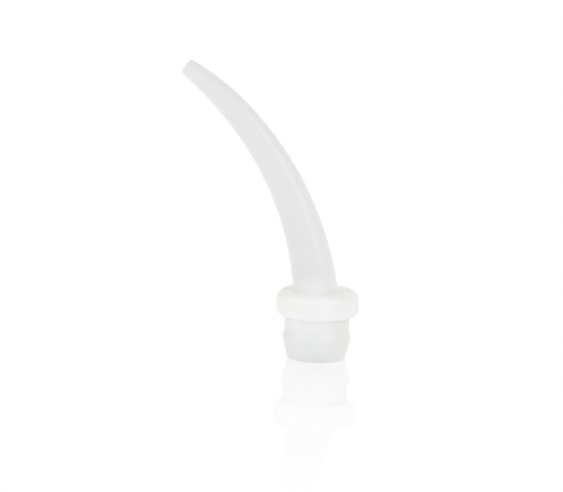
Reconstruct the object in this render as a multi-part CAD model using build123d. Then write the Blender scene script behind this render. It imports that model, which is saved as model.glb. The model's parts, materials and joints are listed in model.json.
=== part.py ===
from build123d import *
import math
import os

# Saliva ejector tip: a curved, tapering suction tube that stands in a snap-in plug.
#
# Millimetres. The origin is the centre of the plug's foot, +Z runs up the plug's axis,
# and the tube bends towards -X in the plane y = 0.
#
# It is put together from above. The tube stands on a ledge inside the snap spigot, and the
# collar slides down over the tube, wedges on its taper and seats on the spigot's tenon.

# ---- snap spigot: the hollow, barbed plug ----
NECK_DIAMETER = 6.50        # outside, between the barb and the collar
NECK_HEIGHT = 1.51
BARB_REACH = 0.18           # how far the barb stands out from the neck, on the radius
BARB_LAND = 0.27            # height of the barb's cylindrical crest
BARB_BACK = 0.40            # height of the slope from the crest down to the neck
LEAD_IN_HEIGHT = 2.08       # height of the lead-in cone below the crest
LEAD_IN_STEP = 0.52         # how much the cone narrows towards the foot, on the radius
FOOT_WALL = 0.61            # wall of the open foot
FOOT_ROUND = 0.14           # outer edge of the foot
PASSAGE_HEIGHT = 1.60       # straight passage above the foot
FUNNEL_HEIGHT = 0.70        # from the passage in to the tube's bore
LEDGE_WIDTH = 0.30          # step outside that the collar stands on
TENON_WALL = 0.50           # wall of the tenon around the tube's root
TENON_HEIGHT = 1.30
TUBE_SEAT_DEPTH = 1.43      # how far the tube stands below the collar's underside

# ---- collar: the finger grip and stop ----
COLLAR_DIAMETER = 8.30
COLLAR_HEIGHT = 2.58
COLLAR_LOWER_ROUND = 0.86
COLLAR_UPPER_ROUND = 0.84
GATE_DIAMETER = 0.80        # trimmed stub of the moulding gate, on the side away from the bend
GATE_REACH = 0.06           # how far the stub stands out of the collar's side
GATE_RISE = 1.20            # height of the stub's middle above the collar's underside

# ---- suction tube ----
TUBE_BEND_RADIUS = 30.10    # of the centreline
TUBE_LENGTH = 30.75         # along the centreline
TIP_TAPER_LENGTH = 5.20     # the faster taper at the free end
SHOULDER_DIAMETER = 2.58    # outside, where the faster taper starts
TIP_DIAMETER = 1.74         # outside, at the free end
ROOT_WALL = 0.70
TIP_WALL = 0.37
TIP_OUTER_ROUND = 0.27
TIP_INNER_ROUND = 0.08

# ---- fits ----
FIT_CLEARANCE = 0.02        # radial, between a piece and the one that it stands in

OVERRUN = 0.50              # how far a cutting shape passes the face that it opens
MAIN_TAPER_SPANS = 6        # stretches between the tube's sections, on each of its tapers
TIP_TAPER_SPANS = 2

# ---- sizes that follow from those ----
NECK_RADIUS = NECK_DIAMETER / 2
BARB_RADIUS = NECK_RADIUS + BARB_REACH
FOOT_RADIUS = BARB_RADIUS - LEAD_IN_STEP
PASSAGE_RADIUS = FOOT_RADIUS - FOOT_WALL
TENON_RADIUS = NECK_RADIUS - LEDGE_WIDTH
SEAT_RADIUS = TENON_RADIUS - TENON_WALL
ROOT_RADIUS = SEAT_RADIUS - FIT_CLEARANCE
LUMEN_ROOT_RADIUS = ROOT_RADIUS - ROOT_WALL
COLLAR_RADIUS = COLLAR_DIAMETER / 2

BARB_TOP = LEAD_IN_HEIGHT + BARB_LAND
NECK_BASE = BARB_TOP + BARB_BACK
COLLAR_BASE = NECK_BASE + NECK_HEIGHT
COLLAR_TOP = COLLAR_BASE + COLLAR_HEIGHT
TENON_TOP = COLLAR_BASE + TENON_HEIGHT
TUBE_BASE = COLLAR_BASE - TUBE_SEAT_DEPTH
FUNNEL_TOP = PASSAGE_HEIGHT + FUNNEL_HEIGHT

MAIN_TAPER_LENGTH = TUBE_LENGTH - TIP_TAPER_LENGTH


def turned(profile):
    """A solid of revolution about the plug's axis, from (radius, height) corners."""
    corners = [(radius, 0, height) for radius, height in profile]
    return revolve(make_face(Polyline(*corners, close=True)), Axis.Z)


def ring_edge(solid, radius, height):
    """The circular edge of a turned solid that is nearest to a radius and a height."""
    circles = solid.edges().filter_by(GeomType.CIRCLE)
    return min(circles, key=lambda edge: abs(edge.radius - radius) + abs(edge.arc_center.Z - height))


def tube_plane(distance):
    """The plane square to the tube's centreline, at a distance along it from the root."""
    angle = distance / TUBE_BEND_RADIUS
    sine = math.sin(angle)
    cosine = math.cos(angle)
    centre = (-TUBE_BEND_RADIUS * (1 - cosine), 0, TUBE_BASE + TUBE_BEND_RADIUS * sine)
    return Plane(origin=centre, x_dir=(cosine, 0, sine), z_dir=(-sine, 0, cosine))


def outer_radius(distance):
    """The tube's outside: an even taper, then a faster one to the free end."""
    shoulder = SHOULDER_DIAMETER / 2
    if distance <= MAIN_TAPER_LENGTH:
        return ROOT_RADIUS + (shoulder - ROOT_RADIUS) * distance / MAIN_TAPER_LENGTH
    share = (distance - MAIN_TAPER_LENGTH) / TIP_TAPER_LENGTH
    return shoulder + (TIP_DIAMETER / 2 - shoulder) * share


def lumen_radius(distance):
    """The tube's bore: the outside less a wall that thins evenly towards the free end."""
    wall = ROOT_WALL + (TIP_WALL - ROOT_WALL) * distance / TUBE_LENGTH
    return outer_radius(distance) - wall


def stations(overrun):
    """Distances along the tube for its sections, carried past both ends by an overrun."""
    main = [MAIN_TAPER_LENGTH * i / MAIN_TAPER_SPANS for i in range(MAIN_TAPER_SPANS)]
    tip = [MAIN_TAPER_LENGTH + TIP_TAPER_LENGTH * i / TIP_TAPER_SPANS for i in range(TIP_TAPER_SPANS + 1)]
    if overrun:
        return [-overrun] + main + tip + [TUBE_LENGTH + overrun]
    return main + tip


def bent_taper(radius_at, overrun=0.0):
    """A solid along the tube's centreline with round sections of a radius that varies."""
    sections = [tube_plane(s) * Circle(radius_at(s)) for s in stations(overrun)]
    return loft(sections)


def tube_bore():
    """The bore that the tube stands in, in both the spigot and the collar: it follows the bend."""
    return bent_taper(lambda s: outer_radius(s) + FIT_CLEARANCE)


def lip_edges(tube):
    """The tube's edges in the plane of its free end, the bore's first."""
    end = tube_plane(TUBE_LENGTH)
    touching = TIP_INNER_ROUND / 2
    edges = [edge for edge in tube.edges() if abs(end.to_local_coords(edge.center()).Z) < touching]
    return sorted(edges, key=lambda edge: edge.length)


def make_suction_tube():
    """The curved tapering tube, open right through, with a rounded lip at its free end."""
    tube = bent_taper(outer_radius) - bent_taper(lumen_radius, OVERRUN)
    tube = fillet(lip_edges(tube)[-1], TIP_OUTER_ROUND)
    return fillet(lip_edges(tube)[0], TIP_INNER_ROUND)


def make_snap_spigot():
    """The hollow plug: lead-in cone, snap barb, neck, and a tenon up into the collar."""
    outside = turned([
        (0, 0),
        (FOOT_RADIUS, 0),
        (BARB_RADIUS, LEAD_IN_HEIGHT),
        (BARB_RADIUS, BARB_TOP),
        (NECK_RADIUS, NECK_BASE),
        (NECK_RADIUS, COLLAR_BASE),
        (TENON_RADIUS, COLLAR_BASE),
        (TENON_RADIUS, TENON_TOP),
        (0, TENON_TOP),
    ])
    inside = turned([
        (0, -OVERRUN),
        (PASSAGE_RADIUS, -OVERRUN),
        (PASSAGE_RADIUS, PASSAGE_HEIGHT),
        (LUMEN_ROOT_RADIUS, FUNNEL_TOP),
        (LUMEN_ROOT_RADIUS, TUBE_BASE + OVERRUN),
        (0, TUBE_BASE + OVERRUN),
    ])
    return fillet(ring_edge(outside, FOOT_RADIUS, 0), FOOT_ROUND) - inside - tube_bore()


def make_collar():
    """The round-edged grip ring, bored from below for the tenon and above for the tube."""
    disc = turned([
        (0, COLLAR_BASE),
        (COLLAR_RADIUS, COLLAR_BASE),
        (COLLAR_RADIUS, COLLAR_TOP),
        (0, COLLAR_TOP),
    ])
    overhang = COLLAR_RADIUS - NECK_RADIUS
    disc = fillet(ring_edge(disc, COLLAR_RADIUS, COLLAR_BASE), min(COLLAR_LOWER_ROUND, overhang))
    disc = fillet(ring_edge(disc, COLLAR_RADIUS, COLLAR_TOP), COLLAR_UPPER_ROUND)

    gate_length = overhang + GATE_REACH
    gate_plane = Plane(origin=(NECK_RADIUS, 0, COLLAR_BASE + GATE_RISE), z_dir=(1, 0, 0))
    gate = extrude(gate_plane * Circle(GATE_DIAMETER / 2), gate_length)

    tenon_bore_height = TENON_HEIGHT + OVERRUN
    tenon_bore = Pos(0, 0, TENON_TOP - tenon_bore_height / 2) * Cylinder(
        TENON_RADIUS + FIT_CLEARANCE, tenon_bore_height)
    return disc + gate - tenon_bore - tube_bore()


os.makedirs("parts", exist_ok=True)
for name, make in (
    ("suction_tube", make_suction_tube),
    ("collar", make_collar),
    ("snap_spigot", make_snap_spigot),
):
    piece = make()
    piece.label = name
    export_step(piece, f"parts/{name}.step")
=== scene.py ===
import json
import math

import bpy
from bpy.props import FloatProperty, FloatVectorProperty, IntProperty, PointerProperty
from mathutils import Matrix, Vector


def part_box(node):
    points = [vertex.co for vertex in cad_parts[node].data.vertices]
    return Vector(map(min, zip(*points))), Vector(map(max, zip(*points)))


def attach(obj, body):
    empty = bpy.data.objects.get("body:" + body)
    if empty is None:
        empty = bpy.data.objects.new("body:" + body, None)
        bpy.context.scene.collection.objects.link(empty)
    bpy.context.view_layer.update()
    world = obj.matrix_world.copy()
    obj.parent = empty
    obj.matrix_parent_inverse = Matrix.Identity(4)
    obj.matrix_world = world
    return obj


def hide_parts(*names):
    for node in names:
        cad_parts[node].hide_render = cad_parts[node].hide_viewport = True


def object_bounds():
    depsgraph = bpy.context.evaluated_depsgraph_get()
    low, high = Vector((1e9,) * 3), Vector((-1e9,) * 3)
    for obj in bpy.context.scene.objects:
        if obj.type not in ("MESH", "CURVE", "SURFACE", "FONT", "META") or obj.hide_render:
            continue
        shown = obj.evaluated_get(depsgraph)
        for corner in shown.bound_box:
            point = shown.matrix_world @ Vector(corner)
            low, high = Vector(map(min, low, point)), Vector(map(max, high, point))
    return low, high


# Saliva ejector tip: the finished looks of its suction tube, collar and snap spigot.
#
# Metres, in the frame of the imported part: the origin is the centre of the spigot's foot, +Z runs
# up the spigot's axis, and the tube bends towards -X in the plane y = 0.

bl_info = {
    "name": "Saliva Ejector Tip",
    "version": (1, 0, 0),
    "blender": (4, 5, 0),
    "location": "3D View > Sidebar > Ejector Tip",
    "description": "Makes the moulded tube, collar and spigot of a saliva ejector tip, and a studio for it",
    "category": "Object",
}

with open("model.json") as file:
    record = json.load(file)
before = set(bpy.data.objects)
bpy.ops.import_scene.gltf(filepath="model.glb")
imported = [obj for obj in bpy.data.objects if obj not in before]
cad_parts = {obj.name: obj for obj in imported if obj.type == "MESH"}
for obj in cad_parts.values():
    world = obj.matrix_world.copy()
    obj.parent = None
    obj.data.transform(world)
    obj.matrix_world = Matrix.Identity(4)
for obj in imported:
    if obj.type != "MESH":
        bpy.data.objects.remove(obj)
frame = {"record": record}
CAD_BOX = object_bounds()
MOUNTS = {mount["name"]: mount for mount in frame["record"]["mounts"]}

MM = 0.001

PARTING_FADE = 0.3 * MM                     # over which the parting line rises at both its ends
WAVE_LENGTH = 3.0 * MM                      # of the soft unevenness that cooling leaves
CROWDING = 0.6                              # how much finer the faces are at the parting line
SMALL_EDGE = 0.05 * MM                      # rounding of the edges that a piece hides inside
GATE_EDGE = 0.05 * MM                       # half width of the slope around the gate stub
GATE_TEAR = 0.03 * MM                       # depth of the torn face of the gate stub

# Patterns of the plastic, in repeats per metre.
TEAR_SCALE = 4500.0                         # the gate stub's torn face
PATCH_SCALE = 900.0                         # patches of slightly different gloss
DRAG_SCALE = (6500, 6500, 350)              # fine marks, drawn out along Z by the opening mould
SCUFF_SCALE = (900, 5200, 1500)             # slanting scratches
CLOUD_SCALE = 420.0                         # soft clouds in the body
STREAK_SCALE = (1400, 1400, 60)             # long streaks in the body, along the flow
GRAIN_DEPTH = 0.0015 * MM                   # of the satin skin

SOFTBOX_DISTANCE = 0.5                      # from the middle of the object
FLOOR_RADIUS = 0.9
FLOOR_SIDES = 96
MIRROR_REACH = 74 * MM                      # where the floor's mirror image has faded away


# ---------------------------------------------------------------- settings


class TubeSettings(bpy.types.PropertyGroup):
    """Sizes of the curved suction tube."""

    bend_radius: FloatProperty(
        name="Bend Radius", description="Radius of the tube's centreline",
        default=30.10 * MM, unit="LENGTH", precision=5)
    length: FloatProperty(
        name="Length", description="Length of the tube along its centreline",
        default=30.75 * MM, unit="LENGTH", precision=5)
    tip_taper: FloatProperty(
        name="Tip Taper", description="Length of the faster taper at the free end",
        default=5.20 * MM, unit="LENGTH", precision=5)
    shoulder_radius: FloatProperty(
        name="Shoulder Radius", description="Outer radius where the faster taper starts",
        default=1.29 * MM, unit="LENGTH", precision=5)
    tip_radius: FloatProperty(
        name="Tip Radius", description="Outer radius at the free end",
        default=0.87 * MM, unit="LENGTH", precision=5)
    root_wall: FloatProperty(
        name="Root Wall", description="Wall thickness at the root",
        default=0.70 * MM, unit="LENGTH", precision=5)
    tip_wall: FloatProperty(
        name="Tip Wall", description="Wall thickness at the free end",
        default=0.37 * MM, unit="LENGTH", precision=5)
    tip_round: FloatProperty(
        name="Tip Round", description="Radius of the free end's outer edge",
        default=0.27 * MM, unit="LENGTH", precision=5)
    tone: FloatVectorProperty(
        name="Tone", description="Cool grey of the thin, translucent wall",
        subtype="COLOR", size=3, min=0, max=1, default=(0.774, 0.780, 0.785))


class CollarSettings(bpy.types.PropertyGroup):
    """Sizes of the grip collar."""

    lower_round: FloatProperty(
        name="Lower Round", description="Radius of the lower outer edge",
        default=0.86 * MM, unit="LENGTH", precision=5)
    upper_round: FloatProperty(
        name="Upper Round", description="Radius of the upper outer edge",
        default=0.84 * MM, unit="LENGTH", precision=5)
    web: FloatProperty(
        name="Web", description="Height of the ring that closes on the tube",
        default=1.28 * MM, unit="LENGTH", precision=5)
    tenon_radius: FloatProperty(
        name="Tenon Bore", description="Radius of the bore that takes the spigot's tenon",
        default=2.97 * MM, unit="LENGTH", precision=5)
    gate_radius: FloatProperty(
        name="Gate Radius", description="Radius of the trimmed gate stub on the side away from the bend",
        default=0.40 * MM, unit="LENGTH", precision=5)
    gate_rise: FloatProperty(
        name="Gate Rise", description="Height of the gate stub's middle above the collar's underside",
        default=1.20 * MM, unit="LENGTH", precision=5)
    # The collar's top is mixed towards this tone as painted shade.
    tone: FloatVectorProperty(
        name="Tone", description="Warm grey that the collar's top is painted towards as shade",
        subtype="COLOR", size=3, min=0, max=1, default=(0.80, 0.80, 0.785))


class SpigotSettings(bpy.types.PropertyGroup):
    """Sizes of the barbed plug."""

    foot_radius: FloatProperty(
        name="Foot Radius", description="Outer radius at the foot",
        default=2.91 * MM, unit="LENGTH", precision=5)
    foot_round: FloatProperty(
        name="Foot Round", description="Radius of the foot's outer edge",
        default=0.14 * MM, unit="LENGTH", precision=5)
    neck_radius: FloatProperty(
        name="Neck Radius", description="Outer radius between the barb and the collar",
        default=3.25 * MM, unit="LENGTH", precision=5)
    barb_back: FloatProperty(
        name="Barb Back", description="Height of the slope behind the barb's crest",
        default=0.40 * MM, unit="LENGTH", precision=5)
    funnel: FloatProperty(
        name="Funnel", description="Height of the funnel above the straight passage",
        default=0.70 * MM, unit="LENGTH", precision=5)
    tenon_wall: FloatProperty(
        name="Tenon Wall", description="Wall of the tenon inside the collar",
        default=0.50 * MM, unit="LENGTH", precision=5)
    tenon_radius: FloatProperty(
        name="Tenon Radius", description="Outer radius of the tenon inside the collar",
        default=2.95 * MM, unit="LENGTH", precision=5)
    tone: FloatVectorProperty(
        name="Tone", description="Greenish grey of the thin lead-in cone",
        subtype="COLOR", size=3, min=0, max=1, default=(0.728, 0.765, 0.760))


class PlasticSettings(bpy.types.PropertyGroup):
    """The moulded surface and the colours that every piece shares."""

    thick: FloatVectorProperty(
        name="Thick Section", description="Milky white where the plastic is thick",
        subtype="COLOR", size=3, min=0, max=1, default=(0.952, 0.953, 0.958))
    # Painted edge shade: the warm, darker colour that the sides are mixed towards, also used for the foot's
    # rim.
    cast: FloatVectorProperty(
        name="Painted Edge Shade", description="Faint warm, darker cast painted on the sides as edge shade",
        subtype="COLOR", size=3, min=0, max=1, default=(0.79, 0.79, 0.755))
    sections: IntProperty(
        name="Sections", description="Faces around each moulded piece",
        default=224, min=32, max=512)
    parting_height: FloatProperty(
        name="Parting Line Height", description="How far the mould's parting line stands out",
        default=0.012 * MM, unit="LENGTH", precision=6)
    parting_width: FloatProperty(
        name="Parting Line Width", description="Half width of the mould's parting line",
        default=0.06 * MM, unit="LENGTH", precision=6)
    unevenness: FloatProperty(
        name="Unevenness", description="Depth of the soft waves that cooling leaves in the surface",
        default=0.012 * MM, unit="LENGTH", precision=6)


class StudioSettings(bpy.types.PropertyGroup):
    """The camera, the floor and the light."""

    azimuth: FloatProperty(
        name="Azimuth", description="How far right of the square view of the bend the camera stands",
        subtype="ANGLE", default=math.radians(15.0))
    elevation: FloatProperty(
        name="Elevation", description="Height of the camera's view above the horizon",
        subtype="ANGLE", default=math.radians(10.6))
    roll: FloatProperty(
        name="Roll", description="Lean of the object to the right in the picture",
        subtype="ANGLE", default=math.radians(1.88))
    distance: FloatProperty(
        name="Distance", description="From the camera to the spigot's foot",
        default=1.0, unit="LENGTH")
    width: FloatProperty(
        name="Width", description="Width that the picture takes in at the spigot's foot",
        default=56.3 * MM, unit="LENGTH", precision=5)
    foot_right: FloatProperty(
        name="Foot Right", description="How far right of the picture's middle the foot stands",
        default=3.435 * MM, unit="LENGTH", precision=5)
    foot_down: FloatProperty(
        name="Foot Down", description="How far below the picture's middle the foot stands",
        default=11.138 * MM, unit="LENGTH", precision=5)
    front: FloatVectorProperty(
        name="Front Light", description="Light that comes from the camera's side of the room",
        subtype="COLOR", size=3, min=0, soft_max=1, default=(0.72, 0.72, 0.72))
    sides: FloatVectorProperty(
        name="Side Light", description="Light that comes from the left and the right",
        subtype="COLOR", size=3, min=0, soft_max=1, default=(0.72, 0.71, 0.675))
    back: FloatVectorProperty(
        name="Back Light", description="Light that comes from behind the object",
        subtype="COLOR", size=3, min=0, soft_max=1, default=(0.93, 0.925, 0.89))
    above: FloatProperty(
        name="Overhead", description="Share of the room's light that is left straight overhead",
        default=0.95, min=0, max=1, subtype="FACTOR")
    key: FloatProperty(
        name="Key", description="Brightness of the cool soft light in front, on the right",
        default=1.5, min=0)
    fill: FloatProperty(
        name="Fill", description="Brightness of the warm soft light in front, on the left",
        default=1.15, min=0)
    reflection: FloatProperty(
        name="Floor Reflection", description="How strongly the floor mirrors the foot of the object",
        default=0.36, min=0, max=1, subtype="FACTOR")
    bounce: FloatProperty(
        name="Bounce", description="Light that the floor throws up on the object",
        default=1.06, min=0)


class EjectorTipSettings(bpy.types.PropertyGroup):
    """All the settings of the ejector tip."""

    tube: PointerProperty(type=TubeSettings)
    collar: PointerProperty(type=CollarSettings)
    spigot: PointerProperty(type=SpigotSettings)
    plastic: PointerProperty(type=PlasticSettings)
    studio: PointerProperty(type=StudioSettings)


# ---------------------------------------------------------------- node helpers


def new_group(name, kind, inputs, outputs):
    """A node group with named sockets. Returns it, its inputs inside and its outputs inside."""
    group = bpy.data.node_groups.new(name, kind)
    for label, socket_kind, value in inputs:
        socket = group.interface.new_socket(label, in_out="INPUT", socket_type=socket_kind)
        if value is not None:
            socket.default_value = value
    for label, socket_kind in outputs:
        group.interface.new_socket(label, in_out="OUTPUT", socket_type=socket_kind)
    return group, group.nodes.new("NodeGroupInput").outputs, group.nodes.new("NodeGroupOutput").inputs


def plug(tree, value, socket):
    """Feeds a socket from another socket, or sets it to a plain value."""
    if isinstance(value, bpy.types.NodeSocket):
        tree.links.new(value, socket)
    else:
        socket.default_value = value


def add(tree, kind, inputs=None, **settings):
    """A node with its properties set and its inputs fed."""
    node = tree.nodes.new(kind)
    for name, value in settings.items():
        setattr(node, name, value)
    for key, value in (inputs or {}).items():
        plug(tree, value, node.inputs[key])
    return node


def calc(tree, operation, *values):
    """The result of a Math node, or of a chain of them where more than two values are given."""
    if len(values) > 2:
        return calc(tree, operation, calc(tree, operation, *values[:-1]), values[-1])
    node = tree.nodes.new("ShaderNodeMath")
    node.operation = operation
    for socket, value in zip(node.inputs, values):
        plug(tree, value, socket)
    return node.outputs[0]


def hypotenuse(tree, first, second):
    """The square root of the sum of two squares."""
    squares = [calc(tree, "MULTIPLY", value, value) for value in (first, second)]
    return calc(tree, "SQRT", calc(tree, "ADD", *squares))


def level(tree, position):
    """The part of a position that is square to Z."""
    return add(tree, "ShaderNodeVectorMath", {0: position, 1: (1, 1, 0)}, operation="MULTIPLY").outputs[0]


def mix_colours(tree, share, first, second):
    """A colour that goes from the first to the second as a share goes from 0 to 1."""
    # The colour sockets have the names of the number sockets, so they go by their places.
    node = add(tree, "ShaderNodeMix", {"Factor": share, 6: first, 7: second}, data_type="RGBA")
    return node.outputs[2]


def ramp(tree, value, low, high):
    """A smooth rise from 0 to 1 as a value goes from low to high, or a fall where low is above high."""
    node = add(tree, "ShaderNodeMapRange", {
        "Value": value, "From Min": low, "From Max": high}, interpolation_type="SMOOTHSTEP")
    return node.outputs["Result"]


# ---------------------------------------------------------------- geometry groups


def lathe_group():
    """Turns a loop of points in the XZ plane about Z into a closed shell, finer along the mould's parting."""
    tree, given, result = new_group("Lathe", "GeometryNodeTree", [
        ("Profile", "NodeSocketGeometry", None),
        ("Sections", "NodeSocketInt", 128),
        ("Crowding", "NodeSocketFloat", CROWDING),
    ], [("Shell", "NodeSocketGeometry")])
    count = add(tree, "GeometryNodeAttributeDomainSize", {0: given["Profile"]}, component="MESH")
    count = count.outputs["Point Count"]
    grid = add(tree, "GeometryNodeMeshGrid", {
        "Size X": 1.0, "Size Y": 1.0,
        "Vertices X": calc(tree, "ADD", count, 1),
        "Vertices Y": calc(tree, "ADD", given["Sections"], 1)})
    place = add(tree, "ShaderNodeSeparateXYZ", {0: add(tree, "GeometryNodeInputPosition").outputs[0]})
    along = calc(tree, "ROUND", calc(tree, "MULTIPLY", calc(tree, "ADD", place.outputs["X"], 0.5), count))
    turn = calc(tree, "MULTIPLY", calc(tree, "ADD", place.outputs["Y"], 0.5), 2 * math.pi)
    crowd = calc(tree, "MULTIPLY", calc(tree, "SINE", calc(tree, "MULTIPLY", turn, 2)),
                 calc(tree, "MULTIPLY", given["Crowding"], 0.5))
    angle = calc(tree, "SUBTRACT", turn, crowd)
    sample = add(tree, "GeometryNodeSampleIndex", {
        "Geometry": given["Profile"],
        "Index": calc(tree, "MODULO", along, count)}, data_type="FLOAT_VECTOR", domain="POINT")
    plug(tree, add(tree, "GeometryNodeInputPosition").outputs[0], sample.inputs["Value"])
    point = add(tree, "ShaderNodeSeparateXYZ", {0: sample.outputs[0]})
    turned = add(tree, "ShaderNodeCombineXYZ", {
        "X": calc(tree, "MULTIPLY", point.outputs["X"], calc(tree, "COSINE", angle)),
        "Y": calc(tree, "MULTIPLY", point.outputs["X"], calc(tree, "SINE", angle)),
        "Z": point.outputs["Z"]})
    shell = add(tree, "GeometryNodeSetPosition", {
        "Geometry": grid.outputs["Mesh"], "Position": turned.outputs[0]})
    closed = add(tree, "GeometryNodeMergeByDistance", {"Geometry": shell.outputs[0], "Distance": 0.001 * MM})
    outward = add(tree, "GeometryNodeFlipFaces", {"Mesh": closed.outputs[0]})
    smooth = add(tree, "GeometryNodeSetShadeSmooth", {"Geometry": outward.outputs[0], "Shade Smooth": True})
    plug(tree, smooth.outputs[0], result["Shell"])
    return tree


def relief_group():
    """Sinks the outer walls towards Z by soft waves, and leaves the mould's parting line standing."""
    tree, given, result = new_group("Moulded Relief", "GeometryNodeTree", [
        ("Shell", "NodeSocketGeometry", None),
        ("Parting Height", "NodeSocketFloat", 0.012 * MM),
        ("Parting Width", "NodeSocketFloat", 0.06 * MM),
        ("Parting Start", "NodeSocketFloat", 0.0),
        ("Parting End", "NodeSocketFloat", 1.0),
        ("Unevenness", "NodeSocketFloat", 0.012 * MM),
        ("Wave Length", "NodeSocketFloat", WAVE_LENGTH),
    ], [("Shell", "NodeSocketGeometry")])
    position = add(tree, "GeometryNodeInputPosition").outputs[0]
    place = add(tree, "ShaderNodeSeparateXYZ", {0: position})
    radial = add(tree, "ShaderNodeVectorMath", {0: level(tree, position)}, operation="NORMALIZE").outputs[0]
    normal = add(tree, "GeometryNodeInputNormal").outputs[0]
    facing = add(tree, "ShaderNodeVectorMath", {0: radial, 1: normal}, operation="DOT_PRODUCT")
    outer = calc(tree, "MAXIMUM", facing.outputs["Value"], 0.0)

    across = calc(tree, "DIVIDE", place.outputs["Y"], given["Parting Width"])
    bell = calc(tree, "EXPONENT", calc(tree, "MULTIPLY", across, across, -1.0))
    full_from = calc(tree, "ADD", given["Parting Start"], PARTING_FADE)
    full_to = calc(tree, "SUBTRACT", given["Parting End"], PARTING_FADE)
    start = ramp(tree, place.outputs["Z"], given["Parting Start"], full_from)
    end = ramp(tree, place.outputs["Z"], given["Parting End"], full_to)
    ridge = calc(tree, "MULTIPLY", bell, start, end)
    beside = calc(tree, "MULTIPLY", calc(tree, "SUBTRACT", 1.0, ridge), given["Parting Height"])

    wave = add(tree, "ShaderNodeTexNoise", {
        "Vector": position, "Scale": calc(tree, "DIVIDE", 1.0, given["Wave Length"]),
        "Detail": 1.0, "Roughness": 0.4}).outputs[0]
    sink = calc(tree, "ADD", beside, calc(tree, "MULTIPLY", wave, given["Unevenness"]))
    amount = calc(tree, "MULTIPLY", outer, sink, -1.0)
    offset = add(tree, "ShaderNodeVectorMath", {0: radial, "Scale": amount}, operation="SCALE")
    moved = add(tree, "GeometryNodeSetPosition", {"Geometry": given["Shell"], "Offset": offset.outputs[0]})
    plug(tree, moved.outputs[0], result["Shell"])
    return tree


def bend_group():
    """Bends a straight shell that stands on z = 0 along an arc towards -X, and lifts it to its root.

    Each point keeps where it stood before, as the attribute "straight", for patterns that run with the tube.
    """
    tree, given, result = new_group("Bend", "GeometryNodeTree", [
        ("Shell", "NodeSocketGeometry", None),
        ("Bend Radius", "NodeSocketFloat", 30.1 * MM),
        ("Root Height", "NodeSocketFloat", 0.0),
    ], [("Shell", "NodeSocketGeometry")])
    position = add(tree, "GeometryNodeInputPosition").outputs[0]
    kept = add(tree, "GeometryNodeStoreNamedAttribute", {
        "Geometry": given["Shell"], "Name": "straight", "Value": position},
        data_type="FLOAT_VECTOR", domain="POINT")
    place = add(tree, "ShaderNodeSeparateXYZ", {0: position})
    angle = calc(tree, "DIVIDE", place.outputs["Z"], given["Bend Radius"])
    reach = calc(tree, "ADD", given["Bend Radius"], place.outputs["X"])
    across = calc(tree, "MULTIPLY", reach, calc(tree, "COSINE", angle))
    up = calc(tree, "MULTIPLY", reach, calc(tree, "SINE", angle))
    bent = add(tree, "ShaderNodeCombineXYZ", {
        "X": calc(tree, "SUBTRACT", across, given["Bend Radius"]),
        "Y": place.outputs["Y"],
        "Z": calc(tree, "ADD", up, given["Root Height"])})
    moved = add(tree, "GeometryNodeSetPosition", {"Geometry": kept.outputs[0], "Position": bent.outputs[0]})
    plug(tree, moved.outputs[0], result["Shell"])
    return tree


def hug_group():
    """Slides the top of a bored ring sideways with the bent tube that passes through it."""
    tree, given, result = new_group("Hug the Tube", "GeometryNodeTree", [
        ("Shell", "NodeSocketGeometry", None),
        ("Bend Radius", "NodeSocketFloat", 30.1 * MM),
        ("Root Height", "NodeSocketFloat", 0.0),
        ("Inner Radius", "NodeSocketFloat", 2.3 * MM),
        ("Outer Radius", "NodeSocketFloat", 3.2 * MM),
        ("From Height", "NodeSocketFloat", 5.6 * MM),
    ], [("Shell", "NodeSocketGeometry")])
    position = add(tree, "GeometryNodeInputPosition").outputs[0]
    place = add(tree, "ShaderNodeSeparateXYZ", {0: position})
    radius = add(tree, "ShaderNodeVectorMath", {0: level(tree, position)}, operation="LENGTH")
    near = ramp(tree, radius.outputs["Value"], given["Outer Radius"], given["Inner Radius"])
    high = calc(tree, "GREATER_THAN", place.outputs["Z"], given["From Height"])
    rise = calc(tree, "SUBTRACT", place.outputs["Z"], given["Root Height"])
    sine = calc(tree, "DIVIDE", rise, given["Bend Radius"])
    cosine = calc(tree, "SQRT", calc(tree, "SUBTRACT", 1.0, calc(tree, "MULTIPLY", sine, sine)))
    shift = calc(tree, "MULTIPLY", calc(tree, "SUBTRACT", cosine, 1.0), given["Bend Radius"])
    amount = calc(tree, "MULTIPLY", near, high, shift)
    offset = add(tree, "ShaderNodeCombineXYZ", {"X": amount})
    moved = add(tree, "GeometryNodeSetPosition", {"Geometry": given["Shell"], "Offset": offset.outputs[0]})
    plug(tree, moved.outputs[0], result["Shell"])
    return tree


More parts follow.
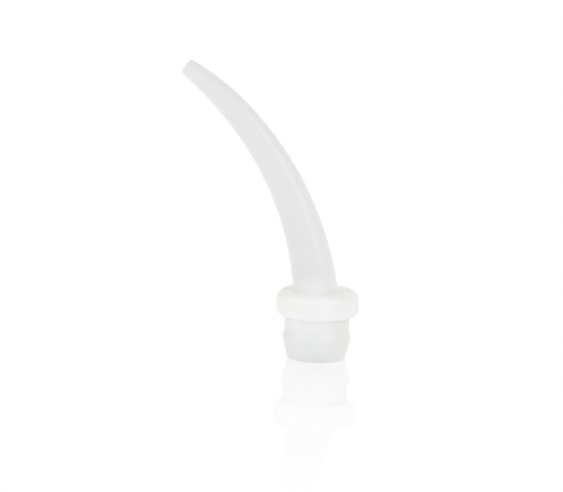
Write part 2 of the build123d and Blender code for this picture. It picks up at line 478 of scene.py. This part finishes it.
def gate_group():
    """Pulls a round patch of the wall out on the +X side, as the flat, torn stub of a moulding gate."""
    tree, given, result = new_group("Gate Stub", "GeometryNodeTree", [
        ("Shell", "NodeSocketGeometry", None),
        ("Stub Radius", "NodeSocketFloat", 0.4 * MM),
        ("Stub Height", "NodeSocketFloat", 5.5 * MM),
        ("Stub Face", "NodeSocketFloat", 4.21 * MM),
        ("Stub Tear", "NodeSocketFloat", GATE_TEAR),
    ], [("Shell", "NodeSocketGeometry")])
    position = add(tree, "GeometryNodeInputPosition").outputs[0]
    place = add(tree, "ShaderNodeSeparateXYZ", {0: position})
    up = calc(tree, "SUBTRACT", place.outputs["Z"], given["Stub Height"])
    away = hypotenuse(tree, up, place.outputs["Y"])
    inside = ramp(tree, away, calc(tree, "ADD", given["Stub Radius"], GATE_EDGE),
                  calc(tree, "SUBTRACT", given["Stub Radius"], GATE_EDGE))
    outer_share = 0.87
    outer_wall = calc(tree, "MULTIPLY", given["Stub Face"], outer_share)
    side = calc(tree, "GREATER_THAN", place.outputs["X"], outer_wall)
    torn = add(tree, "ShaderNodeTexNoise", {
        "Vector": position, "Scale": TEAR_SCALE, "Detail": 2.0}).outputs[0]
    face = calc(tree, "SUBTRACT", given["Stub Face"], calc(tree, "MULTIPLY", torn, given["Stub Tear"]))
    gap = calc(tree, "SUBTRACT", face, place.outputs["X"])
    pull = calc(tree, "MULTIPLY", gap, inside, side)
    offset = add(tree, "ShaderNodeCombineXYZ", {"X": pull})
    moved = add(tree, "GeometryNodeSetPosition", {"Geometry": given["Shell"], "Offset": offset.outputs[0]})
    plug(tree, moved.outputs[0], result["Shell"])
    return tree


def shared_group(name, make):
    """A node group by name, made the first time that it is asked for."""
    found = bpy.data.node_groups.get(name)
    return found if found else make()


def moulding_tree(name, stages, material):
    """The Geometry Nodes tree of one piece: groups in a row, then Realize Instances and Set Material.

    stages holds (group, {input name: value}) pairs. Every value becomes a named input of the tree.
    """
    sockets = {"Profile": ("Profile", "NodeSocketGeometry", None)}
    for group, values in stages:
        for label, value in values.items():
            kind = "NodeSocketInt" if isinstance(value, int) else "NodeSocketFloat"
            sockets[label] = (label, kind, value)
    tree, given, result = new_group(
        name, "GeometryNodeTree", sockets.values(), [("Piece", "NodeSocketGeometry")])
    shape = given["Profile"]
    for group, values in stages:
        step = add(tree, "GeometryNodeGroup", node_tree=group)
        plug(tree, shape, step.inputs[0])
        for label in values:
            plug(tree, given[label], step.inputs[label])
        shape = step.outputs[0]
    whole = add(tree, "GeometryNodeRealizeInstances", {"Geometry": shape})
    painted = add(tree, "GeometryNodeSetMaterial", {"Geometry": whole.outputs[0], "Material": material})
    plug(tree, painted.outputs[0], result["Piece"])
    return tree


def profile_points(corners, step):
    """A closed outline in the XZ plane from (x, z, rounding) corners, walked in order.

    Each corner is rounded by an arc of its own radius, and straight stretches are divided to a step.
    """
    fewest_turns = 4
    arc_fineness = 1.5
    arcs = []
    for i, (x, z, rounding) in enumerate(corners):
        corner = Vector((x, z))
        before = Vector(corners[i - 1][:2]) - corner
        after = Vector(corners[(i + 1) % len(corners)][:2]) - corner
        if rounding == 0:
            arcs.append([corner])
            continue
        half = before.angle(after) / 2
        setback = rounding / math.tan(half)
        start = corner + before.normalized() * setback
        end = corner + after.normalized() * setback
        inwards = (before.normalized() + after.normalized()).normalized()
        centre = corner + inwards * (rounding / math.sin(half))
        sweep = (start - centre).angle_signed(end - centre)
        turns = max(fewest_turns, math.ceil(abs(sweep) * rounding / step * arc_fineness))
        arc = [centre + Matrix.Rotation(-sweep * k / turns, 2) @ (start - centre) for k in range(turns + 1)]
        arcs.append(arc)
    points = []
    for arc, following in zip(arcs, arcs[1:] + arcs[:1]):
        points.extend(arc)
        gap = following[0] - arc[-1]
        parts = max(1, round(gap.length / step))
        points.extend(arc[-1] + gap * k / parts for k in range(1, parts))
    return [(point.x, 0.0, point.y) for point in points]


def mould(name, points, stages, material):
    """Makes a piece from its outline by Geometry Nodes and returns it as a plain mesh object."""
    outline = bpy.data.meshes.new(name + "_outline")
    edges = [(i, (i + 1) % len(points)) for i in range(len(points))]
    outline.from_pydata(points, edges, [])
    source = bpy.data.objects.new(name + "_outline", outline)
    bpy.context.scene.collection.objects.link(source)
    tree = moulding_tree(name + " moulding", stages, material)
    modifier = source.modifiers.new("Moulding", "NODES")
    modifier.node_group = tree
    for item in tree.interface.items_tree:
        if item.in_out == "INPUT" and item.socket_type != "NodeSocketGeometry":
            modifier[item.identifier] = item.default_value
    shape = source.evaluated_get(bpy.context.evaluated_depsgraph_get())
    mesh = bpy.data.meshes.new_from_object(shape)
    bpy.data.objects.remove(source)
    bpy.data.meshes.remove(outline)
    mesh.name = name
    piece = bpy.data.objects.new(name, mesh)
    bpy.context.scene.collection.objects.link(piece)
    return piece


# ---------------------------------------------------------------- materials


def skin_group():
    """The satin skin of a moulding: a fine grain, drag marks along Z, soft patches and a few scuffs."""
    tree, given, result = new_group("Satin Skin", "ShaderNodeTree", [
        ("Vector", "NodeSocketVector", None),
        ("Grain Size", "NodeSocketFloat", 0.05 * MM),
        ("Drag Marks", "NodeSocketFloat", 0.5),
        ("Scuffs", "NodeSocketFloat", 0.5),
        ("Gloss", "NodeSocketFloat", 0.32),
    ], [("Height", "NodeSocketFloat"), ("Roughness", "NodeSocketFloat"), ("Scuff", "NodeSocketFloat")])
    fine = add(tree, "ShaderNodeTexNoise", {
        "Vector": given["Vector"], "Scale": calc(tree, "DIVIDE", 1.0, given["Grain Size"]),
        "Detail": 3.0, "Roughness": 0.55}).outputs[0]
    patch = add(tree, "ShaderNodeTexNoise", {
        "Vector": given["Vector"], "Scale": PATCH_SCALE, "Detail": 1.0, "Roughness": 0.4}).outputs[0]
    stretched = add(tree, "ShaderNodeVectorMath", {
        0: given["Vector"], 1: DRAG_SCALE}, operation="MULTIPLY").outputs[0]
    drag = add(tree, "ShaderNodeTexNoise", {
        "Vector": stretched, "Scale": 1.0, "Detail": 2.0, "Roughness": 0.5}).outputs[0]
    slanted = add(tree, "ShaderNodeVectorMath", {
        0: given["Vector"], 1: SCUFF_SCALE}, operation="MULTIPLY").outputs[0]
    scratch = add(tree, "ShaderNodeTexNoise", {
        "Vector": slanted, "Scale": 1.0, "Detail": 4.0, "Roughness": 0.6, "Distortion": 0.4}).outputs[0]
    scuff = calc(tree, "MULTIPLY", ramp(tree, scratch, 0.62, 0.86), given["Scuffs"])
    marks = calc(tree, "MULTIPLY", drag, given["Drag Marks"])
    height = calc(tree, "ADD", calc(tree, "MULTIPLY", fine, 0.5), calc(tree, "MULTIPLY", marks, 0.8))
    roughness_swing = 0.05
    uneven = calc(tree, "MULTIPLY", calc(tree, "SUBTRACT", patch, 0.5), roughness_swing)
    worn = calc(tree, "MULTIPLY", scuff, roughness_swing)
    rough = calc(tree, "ADD", given["Gloss"], uneven, worn)
    plug(tree, height, result["Height"])
    plug(tree, rough, result["Roughness"])
    plug(tree, scuff, result["Scuff"])
    return tree


def milk_group():
    """The colour of natural plastic: milky where thick, faintly clouded, and warm and darker on the sides as
    painted edge shade.
    """
    tree, given, result = new_group("Milky Depth", "ShaderNodeTree", [
        ("Vector", "NodeSocketVector", None),
        ("Tone", "NodeSocketColor", (0.8, 0.8, 0.8, 1)),
        ("Thick", "NodeSocketColor", (0.93, 0.93, 0.93, 1)),
        ("Warm", "NodeSocketColor", (0.8, 0.79, 0.75, 1)),
        ("Thickness", "NodeSocketFloat", 0.5),
        ("Cast", "NodeSocketFloat", 0.3),
        ("Edge", "NodeSocketFloat", 0.0),
        ("Clouds", "NodeSocketFloat", 0.10),
        ("Streaks", "NodeSocketFloat", 0.10),
        ("Scuff", "NodeSocketFloat", 0.0),
    ], [("Color", "NodeSocketColor")])
    cloud = add(tree, "ShaderNodeTexNoise", {
        "Vector": given["Vector"], "Scale": CLOUD_SCALE, "Detail": 3.0, "Roughness": 0.6}).outputs[0]
    drawn = add(tree, "ShaderNodeVectorMath", {
        0: given["Vector"], 1: STREAK_SCALE}, operation="MULTIPLY").outputs[0]
    streak = add(tree, "ShaderNodeTexNoise", {
        "Vector": drawn, "Scale": 1.0, "Detail": 2.0, "Roughness": 0.5}).outputs[0]
    clouds = calc(tree, "MULTIPLY", calc(tree, "SUBTRACT", cloud, 0.5), given["Clouds"])
    streaks = calc(tree, "MULTIPLY", calc(tree, "SUBTRACT", streak, 0.5), given["Streaks"])
    scuffs = calc(tree, "MULTIPLY", given["Scuff"], 0.08)
    share = calc(tree, "ADD", given["Thickness"], clouds, streaks, scuffs)
    body = mix_colours(tree, share, given["Tone"], given["Thick"])

    place = add(tree, "ShaderNodeSeparateXYZ", {0: given["Vector"]}).outputs
    # Painted edge shade: the sides towards +X and -X are mixed towards the warm, darker colour.
    away = hypotenuse(tree, place["X"], place["Y"])
    sideways = calc(tree, "DIVIDE", calc(tree, "ABSOLUTE", place["X"]), away)
    painted_edge_shade = calc(tree, "MULTIPLY", ramp(tree, sideways, 0.35, 0.95), given["Cast"])
    warm = calc(tree, "MAXIMUM", painted_edge_shade, given["Edge"])
    plug(tree, mix_colours(tree, warm, body, given["Warm"]), result["Color"])
    return tree


def colour(rgb):
    """A colour with full alpha."""
    return (*rgb, 1.0)


def natural_plastic(name, plastic, tone, depth, gloss, cast, drag, scuffs, haze=0.0, attribute=None):
    """Natural polyolefin: a satin skin over a cloudy body.

    depth(tree, place) gives two sockets or numbers: how thick and milky the plastic is, with painted light
    and painted shade mixed in, and how warm its edges are. Cast is the weight of the painted edge shade, a
    warm, darker colour on the sides. Haze is the weight of the soft bloom at grazing angles, where a thin
    wall is seen edge on. The patterns lie on object coordinates, or on a point attribute of the piece.
    """
    material = bpy.data.materials.new(name)
    material.use_nodes = True
    tree = material.node_tree
    tree.nodes.clear()
    if attribute:
        where = add(tree, "ShaderNodeAttribute", attribute_name=attribute).outputs["Vector"]
    else:
        where = add(tree, "ShaderNodeTexCoord").outputs["Object"]
    thickness_and_shading, edge = depth(tree, add(tree, "ShaderNodeSeparateXYZ", {0: where}).outputs)
    skin = add(tree, "ShaderNodeGroup", node_tree=shared_group("Satin Skin", skin_group))
    for label, value in (("Vector", where), ("Gloss", gloss), ("Drag Marks", drag), ("Scuffs", scuffs)):
        plug(tree, value, skin.inputs[label])
    milk = add(tree, "ShaderNodeGroup", node_tree=shared_group("Milky Depth", milk_group))
    for label, value in (
        ("Vector", where), ("Tone", colour(tone)), ("Thick", colour(plastic.thick)),
        ("Warm", colour(plastic.cast)), ("Thickness", thickness_and_shading), ("Cast", cast), ("Edge", edge),
        ("Scuff", skin.outputs["Scuff"]),
    ):
        plug(tree, value, milk.inputs[label])
    bump = add(tree, "ShaderNodeBump", {
        "Strength": 0.3, "Distance": GRAIN_DEPTH, "Height": skin.outputs["Height"]})
    shader = add(tree, "ShaderNodeBsdfPrincipled", {
        "Base Color": milk.outputs["Color"], "Roughness": skin.outputs["Roughness"],
        "Normal": bump.outputs["Normal"]})
    shader.inputs["IOR"].default_value = 1.5
    shader.inputs["Sheen Weight"].default_value = haze
    shader.inputs["Sheen Roughness"].default_value = 0.45
    out = add(tree, "ShaderNodeOutputMaterial")
    plug(tree, shader.outputs[0], out.inputs["Surface"])
    return material


# ---------------------------------------------------------------- pieces


def settle(piece, node):
    """Ties a finished piece to the body, and hides the CAD node that it stands for."""
    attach(piece, "root")
    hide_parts(node)


def relief(plastic, start, end):
    """The relief stage of a piece whose parting line runs between two heights."""
    return shared_group("Moulded Relief", relief_group), {
        "Parting Height": plastic.parting_height,
        "Parting Width": plastic.parting_width,
        "Parting Start": start,
        "Parting End": end,
        "Unevenness": plastic.unevenness,
        "Wave Length": WAVE_LENGTH,
    }


def lathe(plastic):
    """The stage that turns an outline about Z into a shell."""
    return shared_group("Lathe", lathe_group), {"Sections": plastic.sections, "Crowding": CROWDING}


class EJECTORTIP_OT_suction_tube(bpy.types.Operator):
    """Make the curved, tapering suction tube with its bore and rounded lip"""

    bl_idname = "ejector_tip.suction_tube"
    bl_label = "Suction Tube"

    def execute(self, context):
        settings = context.scene.ejector_tip
        tube = settings.tube
        plastic = settings.plastic
        low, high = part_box("suction_tube")
        root_radius = high.y
        shoulder = tube.length - tube.tip_taper

        def lumen(outer, distance):
            wall = tube.root_wall + (tube.tip_wall - tube.root_wall) * distance / tube.length
            return outer - wall

        shoulder_round = 6.0 * MM
        outline = profile_points([
            (root_radius, 0.0, SMALL_EDGE),
            (tube.shoulder_radius, shoulder, shoulder_round),
            (tube.tip_radius, tube.length, tube.tip_round),
            (lumen(tube.tip_radius, tube.length), tube.length, 0.08 * MM),
            (lumen(tube.shoulder_radius, shoulder), shoulder, shoulder_round),
            (lumen(root_radius, 0.0), 0.0, SMALL_EDGE),
        ], step=0.16 * MM)
        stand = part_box("collar")[1].z - low.z
        mid_wall = (root_radius - tube.root_wall / 2, tube.tip_radius - tube.tip_wall / 2)

        def depth(tree, place):
            """Thin all along, lighter just above the collar, partly a thicker root and partly painted light
            against the shade in the crease, and painted light on the bore's inner wall.
            """
            thin = 0.06
            root_painted_light = 0.6
            bore_painted_light = 1.3
            # Painted light: the tube is made lighter just above the collar, against the shade in the crease.
            root = ramp(tree, place["Z"], stand + 2.2 * MM, stand - 0.2 * MM)
            outside = calc(tree, "ADD", thin, calc(tree, "MULTIPLY", root, root_painted_light))
            # Painted light: the bore's inner wall is made milky and light, for the light that comes in
            # through the thin wall.
            away = hypotenuse(tree, place["X"], place["Y"])
            middle = add(tree, "ShaderNodeMapRange", {
                "Value": place["Z"], "From Max": tube.length,
                "To Min": mid_wall[0], "To Max": mid_wall[1]}).outputs["Result"]
            inside = calc(tree, "LESS_THAN", away, middle)
            return calc(tree, "ADD", outside, calc(tree, "MULTIPLY", inside, bore_painted_light)), 0.0

        material = natural_plastic(
            "tube_plastic", plastic, tube.tone, depth, gloss=0.335, cast=0.5, drag=0.8, scuffs=0.3,
            haze=0.22, attribute="straight")
        stages = [
            lathe(plastic),
            relief(plastic, low.z, tube.length - 0.4 * MM),
            (shared_group("Bend", bend_group), {"Bend Radius": tube.bend_radius, "Root Height": low.z}),
        ]
        piece = mould("curved_tube", outline, stages, material)
        settle(piece, "suction_tube")
        return {"FINISHED"}


class EJECTORTIP_OT_collar(bpy.types.Operator):
    """Make the thick, round-edged grip collar"""

    bl_idname = "ejector_tip.collar"
    bl_label = "Collar"

    def execute(self, context):
        settings = context.scene.ejector_tip
        tube = settings.tube
        collar = settings.collar
        plastic = settings.plastic
        low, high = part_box("collar")
        tube_low, tube_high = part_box("suction_tube")
        radius = high.y
        rise = high.z - tube_low.z
        taper = (tube_high.y - tube.shoulder_radius) / (tube.length - tube.tip_taper)
        bore = tube_high.y - taper * rise
        web_base = high.z - collar.web
        fillet = 0.20 * MM
        lip_top = high.z + 1.1 * fillet
        outline = profile_points([
            (collar.tenon_radius, low.z, 0.04 * MM),
            (radius, low.z, collar.lower_round),
            (radius, high.z, collar.upper_round),
            (bore, high.z, fillet),
            (bore - 0.015 * MM, lip_top, 0.0),
            (bore - 0.05 * MM, lip_top, 0.0),
            (bore - 0.02 * MM, web_base, 0.0),
            (collar.tenon_radius, web_base, 0.04 * MM),
        ], step=0.06 * MM)

        def depth(tree, place):
            """Thick, lighter low down as painted light against the shade under the collar, and darker at the
            top as painted shade.
            """
            thick = 0.72
            top_painted_shade = 0.12
            base_painted_light = 0.28
            # Painted shade: the top is mixed towards the darker tone.
            top = calc(tree, "MULTIPLY", ramp(tree, place["Z"], high.z - 0.45 * MM, high.z), top_painted_shade)
            # Painted light: the lower part is made lighter against the shade under the collar's edge.
            lower = ramp(tree, place["Z"], low.z + 1.1 * MM, low.z + 0.3 * MM)
            base = calc(tree, "MULTIPLY", lower, base_painted_light)
            return calc(tree, "ADD", thick, calc(tree, "SUBTRACT", base, top)), 0.0

        material = natural_plastic(
            "collar_plastic", plastic, collar.tone, depth, gloss=0.305, cast=0.45, drag=0.2, scuffs=0.3)
        stages = [
            lathe(plastic),
            relief(plastic, low.z - 1 * MM, high.z - 0.2 * MM),
            (shared_group("Gate Stub", gate_group), {
                "Stub Radius": collar.gate_radius, "Stub Height": low.z + collar.gate_rise,
                "Stub Face": high.x, "Stub Tear": GATE_TEAR}),
            (shared_group("Hug the Tube", hug_group), {
                "Bend Radius": tube.bend_radius, "Root Height": tube_low.z,
                "Inner Radius": bore + 0.15 * MM, "Outer Radius": bore + 0.9 * MM,
                "From Height": web_base - 0.01 * MM}),
        ]
        piece = mould("grip_collar", outline, stages, material)
        settle(piece, "collar")
        return {"FINISHED"}


class EJECTORTIP_OT_snap_spigot(bpy.types.Operator):
    """Make the hollow plug with its lead-in cone, snap barb, neck and tenon"""

    bl_idname = "ejector_tip.snap_spigot"
    bl_label = "Snap Spigot"

    def execute(self, context):
        settings = context.scene.ejector_tip
        spigot = settings.spigot
        plastic = settings.plastic
        barb = MOUNTS["barb"]
        passage = MOUNTS["passage"]
        barb_radius = barb["dims"]["r_mm"] * MM
        half_land = barb["dims"]["length_mm"] * MM / 2
        barb_height = barb["pos_m"][2]
        passage_radius = passage["dims"]["r_mm"] * MM
        passage_top = passage["dims"]["length_mm"] * MM
        tenon_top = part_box("snap_spigot")[1].z
        collar_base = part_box("collar")[0].z
        tube_low, tube_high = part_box("suction_tube")
        throat = tube_high.y - settings.tube.root_wall
        seat = spigot.tenon_radius - spigot.tenon_wall
        neck_base = barb_height + half_land + spigot.barb_back
        outline = profile_points([
            (passage_radius, 0.0, 0.06 * MM),
            (spigot.foot_radius, 0.0, spigot.foot_round),
            (barb_radius, barb_height - half_land, 0.12 * MM),
            (barb_radius, barb_height + half_land, 0.08 * MM),
            (spigot.neck_radius, neck_base, 0.10 * MM),
            (spigot.neck_radius, collar_base, 0.02 * MM),
            (spigot.tenon_radius, collar_base, 0.02 * MM),
            (spigot.tenon_radius, tenon_top, SMALL_EDGE),
            (seat, tenon_top, SMALL_EDGE),
            (seat, tube_low.z, 0.02 * MM),
            (throat, tube_low.z, SMALL_EDGE),
            (throat, passage_top + spigot.funnel, 0.2 * MM),
            (passage_radius, passage_top, 0.2 * MM),
        ], step=0.09 * MM)

        def depth(tree, place):
            """Thin at the foot, with painted shade of the dark hollow in a patch there, thicker up the cone
            and neck, and painted light high on the neck against the shade under the collar.
            """
            thin = 0.24
            cone_gain = 0.24
            neck_thickness_and_light = 0.30
            hollow_shade_loss = 0.18
            hollow_shade_middle = 0.9 * MM
            rim_warmth = 0.7
            cone = calc(tree, "MULTIPLY", ramp(tree, place["Z"], 0.0, 1.8 * MM), cone_gain)
            # The neck is thicker, and is made lighter still near the collar as painted light against the
            # shade under its edge.
            neck = calc(tree, "MULTIPLY", ramp(tree, place["Z"], 2.4 * MM, 4.4 * MM), neck_thickness_and_light)
            # Painted shade: a patch low on the cone, a little towards +X, is darkened for the dark hollow
            # seen through the wall.
            sideways = calc(tree, "ABSOLUTE", calc(tree, "SUBTRACT", place["X"], hollow_shade_middle))
            beside = calc(tree, "ADD", sideways, calc(tree, "MULTIPLY", place["Z"], 2.0))
            hollow_shade = calc(tree, "MULTIPLY", ramp(tree, beside, 2.4 * MM, 0.3 * MM), hollow_shade_loss)
            rim = calc(tree, "MULTIPLY", ramp(tree, place["Z"], 0.16 * MM, 0.04 * MM), rim_warmth)
            return calc(tree, "SUBTRACT", calc(tree, "ADD", thin, cone, neck), hollow_shade), rim

        material = natural_plastic(
            "spigot_plastic", plastic, spigot.tone, depth, gloss=0.32, cast=0.75, drag=0.6, scuffs=0.5)
        stages = [lathe(plastic), relief(plastic, 0.1 * MM, collar_base)]
        piece = mould("barbed_spigot", outline, stages, material)
        settle(piece, "snap_spigot")
        return {"FINISHED"}


# ---------------------------------------------------------------- studio


def white_floor(reflection, bounce):
    """A bright white floor that faintly mirrors what stands on it, and is seen only from above.

    Bounce is its light on the object, where 1 is the white that the camera sees.
    """
    material = bpy.data.materials.new("white_floor")
    material.use_nodes = True
    tree = material.node_tree
    tree.nodes.clear()
    where = add(tree, "ShaderNodeTexCoord").outputs["Object"]
    away = add(tree, "ShaderNodeVectorMath", {0: where}, operation="LENGTH").outputs["Value"]
    share = calc(tree, "MULTIPLY", ramp(tree, away, MIRROR_REACH, 0.0), reflection)
    seen = add(tree, "ShaderNodeLightPath").outputs["Is Camera Ray"]
    glow = calc(tree, "SUBTRACT", bounce, calc(tree, "MULTIPLY", seen, bounce - 1.0))
    paper = add(tree, "ShaderNodeEmission", {"Color": (1, 1, 1, 1), "Strength": glow})
    mirror = add(tree, "ShaderNodeBsdfAnisotropic", {"Color": (1, 1, 1, 1), "Roughness": 0.03})
    top = add(tree, "ShaderNodeMixShader", {0: share, 1: paper.outputs[0], 2: mirror.outputs[0]})
    clear = add(tree, "ShaderNodeBsdfTransparent")
    side = add(tree, "ShaderNodeNewGeometry").outputs["Backfacing"]
    both = add(tree, "ShaderNodeMixShader", {0: side, 1: top.outputs[0], 2: clear.outputs[0]})
    out = add(tree, "ShaderNodeOutputMaterial")
    plug(tree, both.outputs[0], out.inputs["Surface"])
    return material


def make_floor(reflection, bounce):
    """A round white floor under the object."""
    turns = [2 * math.pi * i / FLOOR_SIDES for i in range(FLOOR_SIDES)]
    rim = [(FLOOR_RADIUS * math.cos(turn), FLOOR_RADIUS * math.sin(turn), 0.0) for turn in turns]
    mesh = bpy.data.meshes.new("floor")
    mesh.from_pydata(rim, [], [list(range(FLOOR_SIDES))])
    mesh.materials.append(white_floor(reflection, bounce))
    floor = bpy.data.objects.new("floor", mesh)
    bpy.context.scene.collection.objects.link(floor)


def make_world(front, sides, back, above, azimuth):
    """Plain white to the camera, and to everything else a soft room that is brighter behind the object.

    The room is turned by the azimuth, and its Y runs away from the front.
    """
    world = bpy.data.worlds.new("studio")
    bpy.context.scene.world = world
    world.use_nodes = True
    tree = world.node_tree
    tree.nodes.clear()
    ray = add(tree, "ShaderNodeTexCoord").outputs["Object"]
    turned = add(tree, "ShaderNodeVectorRotate", {"Vector": ray, "Angle": -azimuth}, rotation_type="Z_AXIS")
    way = add(tree, "ShaderNodeSeparateXYZ", {0: turned.outputs[0]}).outputs
    behind = ramp(tree, way["Y"], -0.9, 0.9)
    aside = ramp(tree, calc(tree, "ABSOLUTE", way["X"]), 0.3, 0.95)
    white = colour((1, 1, 1))
    room = mix_colours(tree, aside, mix_colours(tree, behind, colour(front), colour(back)), colour(sides))
    mirror = mix_colours(tree, ramp(tree, way["Y"], 0.0, 0.9), colour(front), white)
    path = add(tree, "ShaderNodeLightPath").outputs
    unseen = mix_colours(tree, path["Is Glossy Ray"], room, mirror)
    seen = mix_colours(tree, path["Is Camera Ray"], unseen, white)
    high = calc(tree, "MULTIPLY", ramp(tree, way["Z"], 0.25, 0.95),
                calc(tree, "SUBTRACT", 1.0, path["Is Camera Ray"]))
    strength = calc(tree, "SUBTRACT", 1.0, calc(tree, "MULTIPLY", high, 1.0 - above))
    light = add(tree, "ShaderNodeBackground", {"Color": seen, "Strength": strength})
    out = add(tree, "ShaderNodeOutputWorld")
    plug(tree, light.outputs[0], out.inputs["Surface"])


def make_softbox(name, azimuth, elevation, wide, tall, brightness, tint):
    """A soft light turned to the object. Azimuth 0 is square on to the bend, and it grows to the right."""
    middle = (CAD_BOX[0] + CAD_BOX[1]) / 2
    aside = math.cos(elevation)
    way = Vector((math.sin(azimuth) * aside, -math.cos(azimuth) * aside, math.sin(elevation)))
    light = bpy.data.lights.new(name, "AREA")
    light.shape = "RECTANGLE"
    light.size = wide
    light.size_y = tall
    light.energy = brightness * math.pi * wide * tall
    light.color = tint
    lamp = bpy.data.objects.new(name, light)
    lamp.location = middle + way * SOFTBOX_DISTANCE
    lamp.rotation_euler = (-way).to_track_quat("-Z", "Y").to_euler()
    bpy.context.scene.collection.objects.link(lamp)


def make_camera(studio):
    """A long lens that looks at the object from a little above, right of the square view of the bend."""
    camera = bpy.data.cameras.new("camera")
    camera.sensor_width = 36.0
    camera.lens = camera.sensor_width * studio.distance / studio.width
    camera.clip_start = 0.01
    camera.clip_end = 10.0
    holder = bpy.data.objects.new("camera", camera)
    turn = (Matrix.Rotation(studio.azimuth, 3, "Z") @ Matrix.Rotation(math.pi / 2 - studio.elevation, 3, "X")
            @ Matrix.Rotation(studio.roll, 3, "Z"))
    right, up, back = turn.col
    holder.location = -studio.foot_right * right + studio.foot_down * up + studio.distance * back
    holder.rotation_euler = turn.to_euler()
    bpy.context.scene.collection.objects.link(holder)
    bpy.context.scene.camera = holder


class EJECTORTIP_OT_studio(bpy.types.Operator):
    """Make the camera, the white floor and the soft studio light"""

    bl_idname = "ejector_tip.studio"
    bl_label = "Studio"

    def execute(self, context):
        studio = context.scene.ejector_tip.studio
        make_camera(studio)
        make_floor(studio.reflection, studio.bounce)
        make_world(studio.front, studio.sides, studio.back, studio.above, studio.azimuth)
        make_softbox(
            "key_light", azimuth=studio.azimuth + math.radians(54), elevation=math.radians(32),
            wide=0.28, tall=0.42, brightness=studio.key, tint=(0.94, 0.97, 1.0))
        make_softbox(
            "fill_light", azimuth=studio.azimuth - math.radians(66), elevation=math.radians(24),
            wide=0.30, tall=0.40, brightness=studio.fill, tint=(1.0, 0.98, 0.94))
        context.scene.view_settings.view_transform = "Standard"
        return {"FINISHED"}


# ---------------------------------------------------------------- panel and registration


class EJECTORTIP_PT_panel(bpy.types.Panel):
    """The ejector tip's buttons and settings"""

    bl_idname = "EJECTORTIP_PT_panel"
    bl_label = "Ejector Tip"
    bl_space_type = "VIEW_3D"
    bl_region_type = "UI"
    bl_category = "Ejector Tip"

    def draw(self, context):
        settings = context.scene.ejector_tip
        for operator, group in (
            (EJECTORTIP_OT_suction_tube, settings.tube),
            (EJECTORTIP_OT_collar, settings.collar),
            (EJECTORTIP_OT_snap_spigot, settings.spigot),
            (EJECTORTIP_OT_studio, settings.studio),
            (None, settings.plastic),
        ):
            box = self.layout.box()
            if operator:
                box.operator(operator.bl_idname)
            for name in group.__annotations__:
                box.prop(group, name)


CLASSES = (
    TubeSettings,
    CollarSettings,
    SpigotSettings,
    PlasticSettings,
    StudioSettings,
    EjectorTipSettings,
    EJECTORTIP_OT_suction_tube,
    EJECTORTIP_OT_collar,
    EJECTORTIP_OT_snap_spigot,
    EJECTORTIP_OT_studio,
    EJECTORTIP_PT_panel,
)


def register():
    """Registers the classes and puts the settings on the scene."""
    for cls in CLASSES:
        bpy.utils.register_class(cls)
    bpy.types.Scene.ejector_tip = PointerProperty(type=EjectorTipSettings)


def unregister():
    """Takes the settings off the scene and unregisters the classes."""
    del bpy.types.Scene.ejector_tip
    for cls in reversed(CLASSES):
        bpy.utils.unregister_class(cls)


def main():
    """Registers the settings, then makes the studio and every piece."""
    register()
    bpy.ops.ejector_tip.studio()
    bpy.ops.ejector_tip.suction_tube()
    bpy.ops.ejector_tip.collar()
    bpy.ops.ejector_tip.snap_spigot()


if __name__ == "__main__":
    main()
